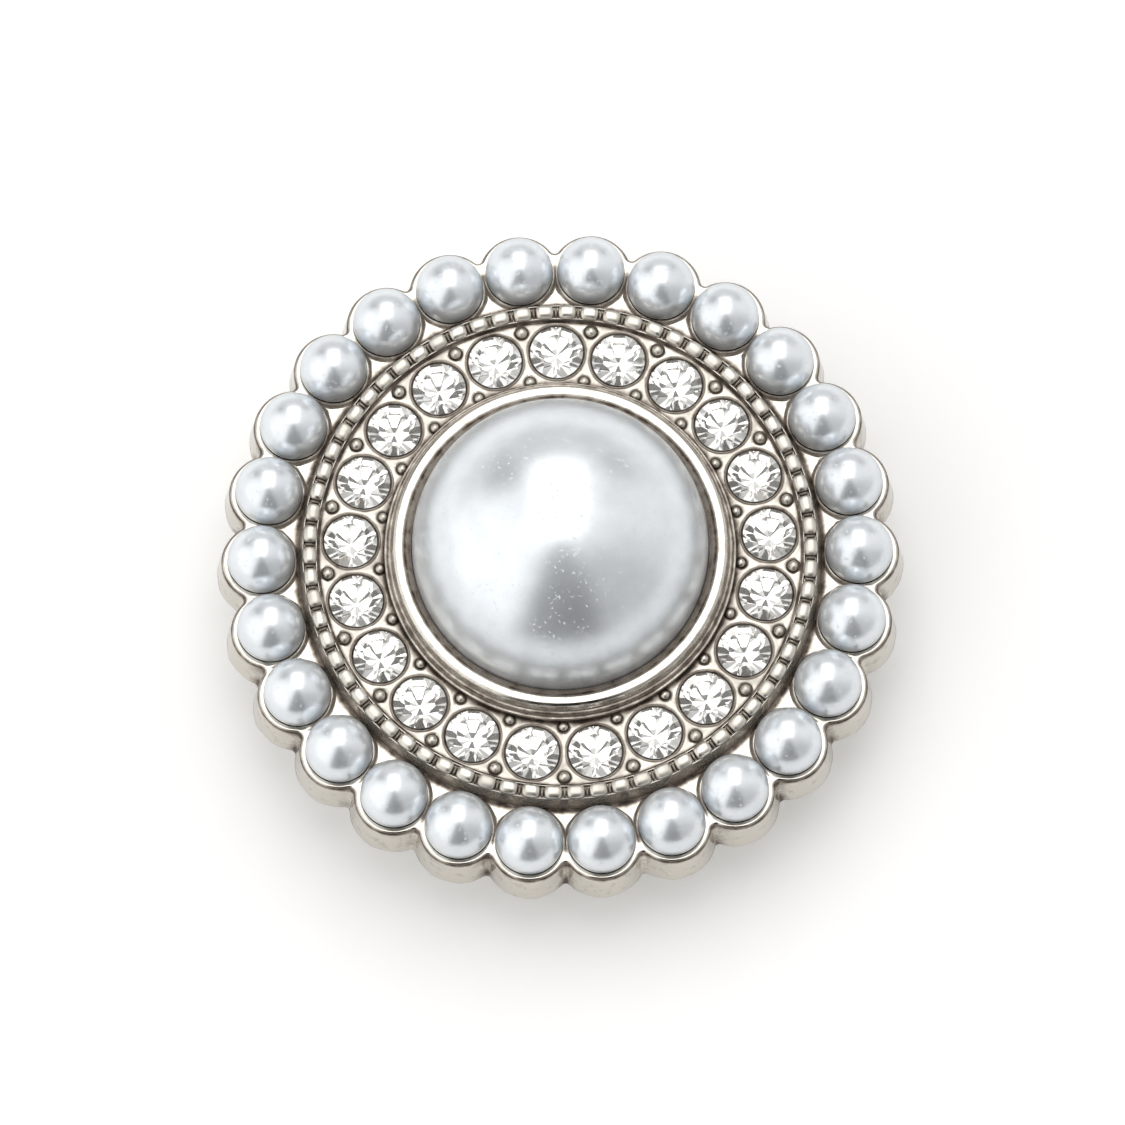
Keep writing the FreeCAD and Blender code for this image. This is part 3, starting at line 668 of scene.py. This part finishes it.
def build_bezel():
    """The bezel and the floor under it: turned from one profile, with two fine ridges outside the lip."""
    sizes = bpy.context.scene.button_casting
    deck = sizes.deck_z
    crest = deck + sizes.bezel_rise
    floor = CENTRE_LOW.z - GLUE
    hollow_z = sizes.back_z + sizes.hollow_deep
    dish_z = floor - sizes.floor
    draft = 0.15 * MM
    foot = sizes.bezel_foot
    out = sizes.bezel_out
    low_ledge = deck + sizes.bezel_rise * 0.25
    high_ledge = deck + sizes.bezel_rise * 0.55
    middle = (foot + out) / 2
    corners = (
        (0, dish_z, 0),
        (CENTRE_RAD - draft, dish_z, 0.15 * MM),
        (CENTRE_RAD, hollow_z, 0.1 * MM),
        (foot, hollow_z, 0),
        (foot, deck - 0.12 * MM, 0),
        (foot - 0.01 * MM, low_ledge, 0.04 * MM),
        (middle + 0.01 * MM, low_ledge + 0.01 * MM, 0.03 * MM),
        (middle, high_ledge, 0.04 * MM),
        (out + 0.03 * MM, high_ledge + 0.01 * MM, 0.03 * MM),
        (out - 0.10 * MM, crest, 0.18 * MM),
        (sizes.bezel_in, crest, 0.12 * MM),
        (sizes.cup_rad, crest - 0.30 * MM, 0.03 * MM),
        (sizes.cup_rad, floor, 0.1 * MM),
        (0, floor, 0),
    )
    profile = close_steps(rounded_profile(corners, 7), 0.08 * MM)
    spots = (       # radius, height, spread and strength of the painted shade
        (foot, deck, 0.28 * MM, 1.0),
        (middle, low_ledge, 0.12 * MM, 0.85),
        (middle, high_ledge, 0.12 * MM, 0.85),
        (middle, (deck + crest) / 2, 0.50 * MM, 0.5),
        (out, crest - 0.24 * MM, 0.14 * MM, 0.75),
        (sizes.bezel_in - 0.10 * MM, crest - 0.08 * MM, 0.12 * MM, 0.9),
        (sizes.cup_rad + 0.10 * MM, crest - 0.24 * MM, 0.26 * MM, 0.65),
    )
    cup = turned_grid(profile, 256, dark_near(profile, spots))
    return skin("bezel_cup", [(cup, False, True)], crease=38.0)


def build_shank():
    """The cast eye: the band between the eye's circle and the shank's outline, with rounded edges.

    The outline is a half circle below the eye's middle and two straight sides above it. Rows run
    round the section, through the eye and back over the outside, so the surface is a closed ring.
    """
    sizes = bpy.context.scene.button_casting
    wide = sizes.eye_rad + sizes.shank_wall
    thick = sizes.shank_thick / 2
    top = CENTRE_LOW.z - GLUE - sizes.floor / 2
    bottom_angle = np.linspace(math.pi, 2 * math.pi, 49)
    rounded = wide * np.stack((np.cos(bottom_angle), np.sin(bottom_angle)), axis=1)
    steps = 12
    up = np.linspace(0, top, steps + 1)[1:]
    right = np.stack((np.full(steps, wide), up), axis=1)
    across = np.linspace(wide, -wide, steps + 1)[1:]
    over = np.stack((across, np.full(steps, top)), axis=1)
    left = right[::-1][1:] * np.array((-1.0, 1.0))
    loop = np.concatenate((rounded, right, over, left))
    reach = np.linalg.norm(loop, axis=1)
    direction = loop / reach[:, None]
    outer_edge = 0.25 * MM
    inner_edge = 0.12 * MM
    quarter = np.linspace(0, math.pi / 2, 5)
    points = []

    def add_rows(angles, side, edge, outside):
        """Rows round one edge of the section, on one side of the shank."""
        for angle in angles:
            x = side * (thick - edge * (1 - math.sin(angle)))
            inset = edge * (1 - math.cos(angle))
            spread = reach - inset if outside else np.full(len(reach), sizes.eye_rad + inset)
            points.append(np.column_stack((np.full(len(reach), x), direction * spread[:, None])))

    add_rows(quarter, 1, inner_edge, False)
    add_rows(quarter[::-1], 1, outer_edge, True)
    add_rows(quarter, -1, outer_edge, True)
    add_rows(quarter[::-1], -1, inner_edge, False)
    return skin("shank_eye", [(np.array(points), True, True)], crease=40.0)


def build_shank_root():
    """The fillet round the shank's foot: rounded rectangles that widen along a quarter of a circle."""
    sizes = bpy.context.scene.button_casting
    root = sizes.shank_root
    corner = 0.25 * MM
    half_wide = sizes.eye_rad + sizes.shank_wall - corner
    half_thick = sizes.shank_thick / 2 - corner
    dish_z = CENTRE_LOW.z - GLUE - sizes.floor
    # a hair's turn keeps every point clear of the corners' own borders
    turn = np.linspace(0, 2 * np.pi, 32, endpoint=False) + 1e-6
    middle = np.stack((half_thick * np.sign(np.cos(turn)), half_wide * np.sign(np.sin(turn))), axis=1)
    outward = np.stack((np.cos(turn), np.sin(turn)), axis=1)
    swing = np.linspace(0, math.pi / 2, 8)
    grow = np.concatenate(((-0.1 * MM,), root * (1 - np.cos(swing)), (root,)))
    height = np.concatenate(((dish_z - root,), dish_z - root * (1 - np.sin(swing)), (dish_z + 0.05 * MM,)))
    flat = middle[None] + outward[None] * (corner + grow)[:, None, None]
    level = np.broadcast_to(height[:, None, None], flat.shape[:2] + (1,))
    rows = np.concatenate((flat, level), axis=2)
    shape = (1, len(turn), 3)
    first = np.broadcast_to((0, 0, height[0]), shape)
    last = np.broadcast_to((0, 0, height[-1]), shape)
    return skin("shank_root", [(np.concatenate((first, rows, last)), False, True)], crease=40.0)


def build_centre_pearl():
    """The half-round pearl: half an ellipse over a short straight base, turned round the axis."""
    rise = np.linspace(0, math.pi / 2, 72)
    girdle = CENTRE_LOW.z + CENTRE_BASE
    dome = CENTRE_HIGH.z - girdle
    curve = np.stack((CENTRE_RAD * np.cos(rise), girdle + dome * np.sin(rise)), axis=1)
    bevel = 0.2 * MM
    flat = CENTRE_LOW.z
    base = np.array(((0, flat), (CENTRE_RAD - bevel, flat), (CENTRE_RAD, flat + bevel)))
    profile = np.concatenate((base, curve))
    return skin("half_round_pearl", [(turned_grid(profile, 256), False, True)], crease=35.0)


def build_rim_pearl(number, node):
    """A round pearl: a ball of latitude and longitude about the middle of its node."""
    middle = node_middle(node)
    rise = np.linspace(-math.pi / 2, math.pi / 2, 37)[:, None]
    around = np.linspace(0, 2 * np.pi, 72, endpoint=False)
    x = np.cos(rise) * np.cos(around)
    y = np.cos(rise) * np.sin(around)
    ball = np.stack((x, y, np.broadcast_to(np.sin(rise), x.shape)), axis=-1)
    ball *= PEARL_RAD + bpy.context.scene.button_casting.pearl_coat
    return skin("round_pearl_%02d" % number, [(middle + ball, False, True)])


def new_material(name):
    """An empty node material with its output and a principled shader joined up."""
    material = bpy.data.materials.new(name)
    material.use_nodes = True
    nodes = material.node_tree.nodes
    nodes.clear()
    output = nodes.new("ShaderNodeOutputMaterial")
    shader = nodes.new("ShaderNodeBsdfPrincipled")
    material.node_tree.links.new(shader.outputs["BSDF"], output.inputs["Surface"])
    return material, nodes, material.node_tree.links, shader


def object_noise(nodes, links, scale, detail, rough=0.5):
    """Noise that follows the object's own coordinates."""
    place = nodes.new("ShaderNodeTexCoord")
    noise = nodes.new("ShaderNodeTexNoise")
    noise.inputs["Scale"].default_value = scale
    noise.inputs["Detail"].default_value = detail
    noise.inputs["Roughness"].default_value = rough
    links.new(place.outputs["Object"], noise.inputs["Vector"])
    return noise.outputs["Fac"]


def ranged(nodes, links, source, low, high, to_low, to_high):
    """Map a value from one range to another."""
    node = nodes.new("ShaderNodeMapRange")
    limits = {"From Min": low, "From Max": high, "To Min": to_low, "To Max": to_high}
    for socket, number in limits.items():
        node.inputs[socket].default_value = number
    links.new(source, node.inputs["Value"])
    return node.outputs["Result"]


def join(links, source, socket):
    """Give a socket a value: a number, a colour, or another node's output."""
    if isinstance(source, bpy.types.NodeSocket):
        links.new(source, socket)
    else:
        socket.default_value = source


def maths(nodes, links, operation, first, second):
    """The result of one sum on two values."""
    node = nodes.new("ShaderNodeMath")
    node.operation = operation
    join(links, first, node.inputs[0])
    join(links, second, node.inputs[1])
    return node.outputs["Value"]


def blended(nodes, links, factor, first, second):
    """A colour between two others."""
    node = nodes.new("ShaderNodeMix")
    node.data_type = "RGBA"
    links.new(factor, node.inputs["Factor"])
    join(links, first, node.inputs["A"])
    join(links, second, node.inputs["B"])
    return node.outputs["Result"]


def add_bump(nodes, links, shader, height, strength, distance):
    """Roughen a shader's surface by a height."""
    bump = nodes.new("ShaderNodeBump")
    bump.inputs["Strength"].default_value = strength
    bump.inputs["Distance"].default_value = distance
    links.new(height, bump.inputs["Height"])
    links.new(bump.outputs["Normal"], shader.inputs["Normal"])


def plated_metal(name, rough):
    """Warm plating: faint cloudy roughness, an orange-peel surface, and a dull brown painted shade that
    gathers unevenly in the recesses, where the metal is also made less metallic and rougher."""
    if name in bpy.data.materials:
        return bpy.data.materials[name]
    finish = bpy.context.scene.button_finish
    material, nodes, links, shader = new_material(name)
    cloud = object_noise(nodes, links, 900.0, 4.0)
    shaded = [part * 0.93 for part in finish.metal]
    tone = blended(nodes, links, cloud, (*finish.metal, 1.0), (*shaded, 1.0))
    # the recess attribute and the noise blotches darken the colour as painted shade: brown, and nearly
    # black in the deepest spots
    depth = nodes.new("ShaderNodeAttribute")
    depth.attribute_name = "recess"
    blotch = ranged(nodes, links, object_noise(nodes, links, 1700.0, 3.0, 0.6), 0.35, 0.70, -0.12, 0.30)
    uneven = maths(nodes, links, "ADD", depth.outputs["Fac"], blotch)
    shade_cover = ranged(nodes, links, uneven, 0.12, 1.0, 0.0, 1.0)
    thickest = ranged(nodes, links, uneven, 0.80, 1.08, 0.0, 1.0)
    shade_tinted = blended(nodes, links, shade_cover, tone, (*finish.recess, 1.0))
    darkest_tinted = blended(nodes, links, thickest, shade_tinted, (*finish.deepest_shade, 1.0))
    links.new(darkest_tinted, shader.inputs["Base Color"])
    links.new(ranged(nodes, links, shade_cover, 0.0, 0.8, 1.0, 0.35), shader.inputs["Metallic"])
    cloudy = ranged(nodes, links, cloud, 0.3, 0.7, rough * 0.7, rough * 1.5)
    dulled = ranged(nodes, links, shade_cover, 0.0, 0.8, 0.0, 0.45)
    links.new(maths(nodes, links, "MAXIMUM", cloudy, dulled), shader.inputs["Roughness"])
    peel = object_noise(nodes, links, 2600.0, 3.0)
    add_bump(nodes, links, shader, peel, 0.35, 4e-6)
    return material


def pearl_coating(name, lustre, rough, coat, ripple):
    """Pearl coating: a lustrous body under a thin clear coat, with a faint cloudy drift of tone, a
    ripple of a given depth and a few fine specks."""
    if name in bpy.data.materials:
        return bpy.data.materials[name]
    finish = bpy.context.scene.button_finish
    material, nodes, links, shader = new_material(name)
    drift = object_noise(nodes, links, 900.0, 4.0)
    red, green, blue = [min(1.0, part * 1.08) for part in finish.pearl]
    drifting = ranged(nodes, links, drift, 0.35, 0.65, 0.0, 1.0)
    tone = blended(nodes, links, drifting, (*finish.pearl, 1.0), (red, green, blue * 0.985, 1.0))
    links.new(tone, shader.inputs["Base Color"])
    shader.inputs["Metallic"].default_value = lustre
    shader.inputs["Specular Tint"].default_value = (0.7, 0.7, 0.7, 1.0)
    speckle = object_noise(nodes, links, 6000.0, 2.0)
    links.new(ranged(nodes, links, speckle, 0.63, 0.70, rough, 0.85), shader.inputs["Roughness"])
    shader.inputs["Coat Weight"].default_value = coat
    shader.inputs["Coat Roughness"].default_value = 0.22
    shader.inputs["Sheen Weight"].default_value = 0.1
    shader.inputs["Sheen Roughness"].default_value = 0.4
    add_bump(nodes, links, shader, drift, 0.5, ripple)
    return material


def foiled_glass():
    """Clear glass above the girdle and a silver foil below it, told apart by height. The foil has a faint
    painted glow, an emission in place of the light that many small facets pass on to each other."""
    if "foiled_glass" in bpy.data.materials:
        return bpy.data.materials["foiled_glass"]
    finish = bpy.context.scene.button_finish
    material, nodes, links, shader = new_material("foiled_glass")
    place = nodes.new("ShaderNodeTexCoord")
    parts = nodes.new("ShaderNodeSeparateXYZ")
    links.new(place.outputs["Object"], parts.inputs["Vector"])
    girdle = STONE_LOW.z + PAVILION
    seam = 0.002 * MM

    def by_height(below, above):
        """One value for the foil below the girdle and another for the glass above it."""
        return ranged(nodes, links, parts.outputs["Z"], girdle - seam, girdle + seam, below, above)

    is_glass = by_height(0.0, 1.0)
    tone = blended(nodes, links, is_glass, (*finish.foil, 1.0), (*finish.glass, 1.0))
    links.new(tone, shader.inputs["Base Color"])
    links.new(is_glass, shader.inputs["Transmission Weight"])
    links.new(by_height(0.95, 0.0), shader.inputs["Metallic"])
    links.new(by_height(0.06, 0.015), shader.inputs["Roughness"])
    shader.inputs["IOR"].default_value = 1.56
    # painted glow: a faint warm emission from the foil
    shader.inputs["Emission Color"].default_value = (1.0, 0.95, 0.88, 1.0)
    links.new(by_height(0.05, 0.0), shader.inputs["Emission Strength"])
    return material


def look_at(thing, target):
    """Turn a light or the camera to face a point."""
    direction = Vector(target) - thing.location
    thing.rotation_euler = direction.to_track_quat("-Z", "Y").to_euler()


def soft_box(name, direction, distance, wide, tall, radiance, tint):
    """An even rectangle of light; its power is its radiance times pi times its area."""
    data = bpy.data.lights.new(name, "AREA")
    data.shape = "RECTANGLE"
    data.size = wide
    data.size_y = tall
    data.energy = radiance * math.pi * wide * tall
    data.color = tint
    box = bpy.data.objects.new(name, data)
    bpy.context.scene.collection.objects.link(box)
    unit = np.array(direction) / np.linalg.norm(direction)
    box.location = tuple(unit * distance)
    look_at(box, (0, 0, 0))


def build_world(stage):
    """White behind everything for the camera. For light and reflections, a pale room that is brightest
    on the left and has a dark wedge, the shadowed place of the camera, widening down to the horizon."""
    world = bpy.data.worlds.new("studio_room")
    bpy.context.scene.world = world
    world.use_nodes = True
    nodes = world.node_tree.nodes
    links = world.node_tree.links
    nodes.clear()
    output = nodes.new("ShaderNodeOutputWorld")
    room = nodes.new("ShaderNodeBackground")
    white = nodes.new("ShaderNodeBackground")
    white.inputs["Color"].default_value = (1, 1, 1, 1)
    white.inputs["Strength"].default_value = 1.0
    choose = nodes.new("ShaderNodeMixShader")
    path = nodes.new("ShaderNodeLightPath")
    links.new(path.outputs["Is Camera Ray"], choose.inputs["Fac"])
    links.new(room.outputs["Background"], choose.inputs[1])
    links.new(white.outputs["Background"], choose.inputs[2])
    links.new(choose.outputs["Shader"], output.inputs["Surface"])
    place = nodes.new("ShaderNodeTexCoord")

    def toward(direction, near, far, amount):
        """Amount near a direction, fading to nothing between two angles in degrees."""
        node = nodes.new("ShaderNodeVectorMath")
        node.operation = "DOT_PRODUCT"
        links.new(place.outputs["Generated"], node.inputs[0])
        node.inputs[1].default_value = tuple(np.array(direction) / np.linalg.norm(direction))
        edges = [math.cos(math.radians(angle)) for angle in (far, near)]
        fade = ranged(nodes, links, node.outputs["Value"], *edges, 0.0, amount)
        fade.node.interpolation_type = "SMOOTHSTEP"
        return fade

    def total(*parts):
        """The sum of several values."""
        result = parts[0]
        for part in parts[1:]:
            result = maths(nodes, links, "ADD", result, part)
        return result

    window = toward((-0.80, -0.35, 0.48), 20, 65, 0.60)
    pale_wall = toward((0.75, 0.35, 0.55), 12, 50, 0.18)
    dim_corner = toward((0.65, -0.65, 0.40), 10, 55, -0.25)
    dim_back = toward((0.0, 0.92, 0.38), 15, 60, -0.18)
    even = total(window, pale_wall, dim_corner, dim_back, 0.70)
    # two dark patches high at the back, which the pearls mirror on either side of their highlight
    patches = total(toward((-0.57, 0.69, 0.46), 4, 17, 0.8), toward((0.56, 0.735, 0.38), 3, 14, 0.65))
    level = nodes.new("ShaderNodeVectorMath")
    level.operation = "MULTIPLY"
    links.new(place.outputs["Generated"], level.inputs[0])
    level.inputs[1].default_value = (1.0, 1.0, 0.0)
    heading = nodes.new("ShaderNodeVectorMath")
    heading.operation = "NORMALIZE"
    links.new(level.outputs["Vector"], heading.inputs[0])
    front = nodes.new("ShaderNodeVectorMath")
    front.operation = "DOT_PRODUCT"
    links.new(heading.outputs["Vector"], front.inputs[0])
    front.inputs[1].default_value = (0.0, -1.0, 0.0)
    # the wedge ends between 24 and 31 degrees to either side of the front
    sides = [math.cos(math.radians(angle)) for angle in (31, 24)]
    wedge = ranged(nodes, links, front.outputs["Value"], *sides, 0.0, 1.0)
    dark = maths(nodes, links, "MAXIMUM", wedge, patches)
    keep = ranged(nodes, links, dark, 0.0, 1.0, 1.0, 0.05)
    shaded = maths(nodes, links, "MULTIPLY", even, keep)
    links.new(maths(nodes, links, "MULTIPLY", shaded, stage.room_light), room.inputs["Strength"])
    room.inputs["Color"].default_value = (1.0, 1.0, 1.0, 1.0)


def build_floor(stage):
    """A wide pale floor at the foot of the shank. The camera sees it a little lighter than it is lit,
    so that it meets the white background without an edge and keeps the button's shadow."""
    half = 1.5
    low = CASTING_LOW.z - 0.01 * MM
    line = np.linspace(-half, half, 3)
    x, y = np.meshgrid(line, line, indexing="ij")
    floor = skin("pale_floor", [(np.stack((x, y, np.full(x.shape, low)), axis=-1), False, False)])
    if floor.data.polygons[0].normal.z < 0:
        floor.data.flip_normals()
    material, nodes, links, shader = new_material("pale_floor")
    shader.inputs["Base Color"].default_value = (0.93, 0.925, 0.915, 1.0)
    shader.inputs["Roughness"].default_value = 0.9
    shader.inputs["Specular IOR Level"].default_value = 0.1
    path = nodes.new("ShaderNodeLightPath")
    seen = ranged(nodes, links, path.outputs["Is Camera Ray"], 0.0, 1.0, 0.0, stage.floor_glow)
    mirrored = ranged(nodes, links, path.outputs["Is Glossy Ray"], 0.0, 1.0, 0.0, stage.floor_glow / 2)
    shader.inputs["Emission Color"].default_value = (1.0, 1.0, 1.0, 1.0)
    links.new(maths(nodes, links, "ADD", seen, mirrored), shader.inputs["Emission Strength"])
    floor.data.materials.append(material)


def build_camera(stage):
    """A long lens that looks down on the button's face."""
    data = bpy.data.cameras.new("studio_camera")
    data.sensor_width = 36.0
    data.lens = data.sensor_width * stage.distance / stage.frame_wide
    data.clip_start = 0.01
    data.clip_end = 20.0
    camera = bpy.data.objects.new("studio_camera", data)
    bpy.context.scene.collection.objects.link(camera)
    bpy.context.scene.camera = camera
    cosine = math.cos(stage.elevation)
    sine = math.sin(stage.elevation)
    back = np.array((math.sin(stage.turn) * cosine, -math.cos(stage.turn) * cosine, sine))
    right = np.array((math.cos(stage.turn), math.sin(stage.turn), 0.0))
    up = np.cross(back, right)
    middle = np.array((0, 0, bpy.context.scene.button_casting.rim_z))
    target = middle + right * stage.shift_x + up * stage.shift_y
    camera.location = tuple(target + back * stage.distance)
    look_at(camera, tuple(target))


class BUTTON_OT_casting(bpy.types.Operator):
    """Build the finished surfaces of the plated casting"""
    bl_idname = "button.casting"
    bl_label = "Casting"

    def execute(self, context):
        polished = plated_metal("plated_metal", context.scene.button_finish.metal_rough)
        for build in (build_rim, build_raised_ring, build_bezel, build_shank, build_shank_root):
            finish_piece(build(), polished, "plated_casting", CASTING)
        soft = plated_metal("soft_plated_metal", context.scene.button_finish.metal_rough * SOFTER)
        finish_piece(build_deck(), soft, "plated_casting", CASTING)
        return {"FINISHED"}


class BUTTON_OT_ornament(bpy.types.Operator):
    """Build the milgrain border and the bright grains"""
    bl_idname = "button.ornament"
    bl_label = "Milgrain and Grains"

    def execute(self, context):
        metal = plated_metal("soft_plated_metal", context.scene.button_finish.metal_rough * SOFTER)
        for build in (build_milgrain, build_grains):
            finish_piece(build(), metal, "plated_casting", CASTING)
        return {"FINISHED"}


class BUTTON_OT_centre_pearl(bpy.types.Operator):
    """Build the half-round centre pearl"""
    bl_idname = "button.centre_pearl"
    bl_label = "Centre Pearl"

    def execute(self, context):
        finish = context.scene.button_finish
        coating = pearl_coating(
            "centre_pearl_coating", finish.pearl_lustre * 1.1, finish.pearl_rough * 0.86, 0.08, 4e-6)
        finish_piece(build_centre_pearl(), coating, "centre_pearl", "centre_pearl")
        return {"FINISHED"}


class BUTTON_OT_rim_pearls(bpy.types.Operator):
    """Build the ring of small round pearls"""
    bl_idname = "button.rim_pearls"
    bl_label = "Rim Pearls"

    def execute(self, context):
        finish = context.scene.button_finish
        coating = pearl_coating(
            "rim_pearl_coating", finish.pearl_lustre, finish.pearl_rough * 0.8, 0.08, 2e-5)
        for number, node in enumerate(PEARL_NODES, 1):
            finish_piece(build_rim_pearl(number, node), coating, "rim_pearls", node)
        return {"FINISHED"}


class BUTTON_OT_stones(bpy.types.Operator):
    """Give the frame's faceted stones their glass and foil"""
    bl_idname = "button.stones"
    bl_label = "Rhinestones"

    def execute(self, context):
        glass = foiled_glass()
        for node in STONE_NODES:
            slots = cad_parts[node].material_slots
            if not slots:
                raise RuntimeError(node + " has no material slot")
            for slot in slots:
                slot.material = glass
        return {"FINISHED"}


class BUTTON_OT_stage(bpy.types.Operator):
    """Set up the floor, the light and the camera"""
    bl_idname = "button.stage"
    bl_label = "Stage"

    def execute(self, context):
        stage = context.scene.button_stage
        build_world(stage)
        build_floor(stage)
        build_camera(stage)
        lean = math.radians(24.0)
        soft_box("top_soft_box", (0, math.sin(lean), math.cos(lean)), 0.5, 0.31, 0.56, stage.box_light,
                 (1.0, 0.995, 0.985))
        context.scene.view_settings.view_transform = "Standard"
        return {"FINISHED"}


class BUTTON_PT_panel(bpy.types.Panel):
    """Lists the button's pieces and its stage"""
    bl_label = "Rhinestone Button"
    bl_idname = "BUTTON_PT_panel"
    bl_space_type = "VIEW_3D"
    bl_region_type = "UI"
    bl_category = "Button"

    def draw(self, context):
        """List the operators, then the sizes and colours of each group."""
        column = self.layout.column()
        for operator in OPERATORS:
            column.operator(operator.bl_idname)
        for group_name, group_type in GROUPS:
            for name in group_type.__annotations__:
                column.prop(getattr(context.scene, group_name), name)


GROUPS = (
    ("button_casting", ButtonCastingSizes),
    ("button_finish", ButtonFinish),
    ("button_stage", ButtonStage),
)
OPERATORS = (
    BUTTON_OT_casting,
    BUTTON_OT_ornament,
    BUTTON_OT_centre_pearl,
    BUTTON_OT_rim_pearls,
    BUTTON_OT_stones,
    BUTTON_OT_stage,
)


def register():
    """Make the property groups, the operators and the panel known to Blender."""
    for name, group in GROUPS:
        bpy.utils.register_class(group)
        setattr(bpy.types.Scene, name, bpy.props.PointerProperty(type=group))
    for shown in OPERATORS + (BUTTON_PT_panel,):
        bpy.utils.register_class(shown)


def unregister():
    """Take them away again, last first."""
    for shown in reversed(OPERATORS + (BUTTON_PT_panel,)):
        bpy.utils.unregister_class(shown)
    for name, group in reversed(GROUPS):
        delattr(bpy.types.Scene, name)
        bpy.utils.unregister_class(group)


def main():
    """Build every piece and the stage."""
    register()
    bpy.ops.button.casting()
    bpy.ops.button.ornament()
    bpy.ops.button.centre_pearl()
    bpy.ops.button.rim_pearls()
    bpy.ops.button.stones()
    bpy.ops.button.stage()


if __name__ == "__main__":
    main()
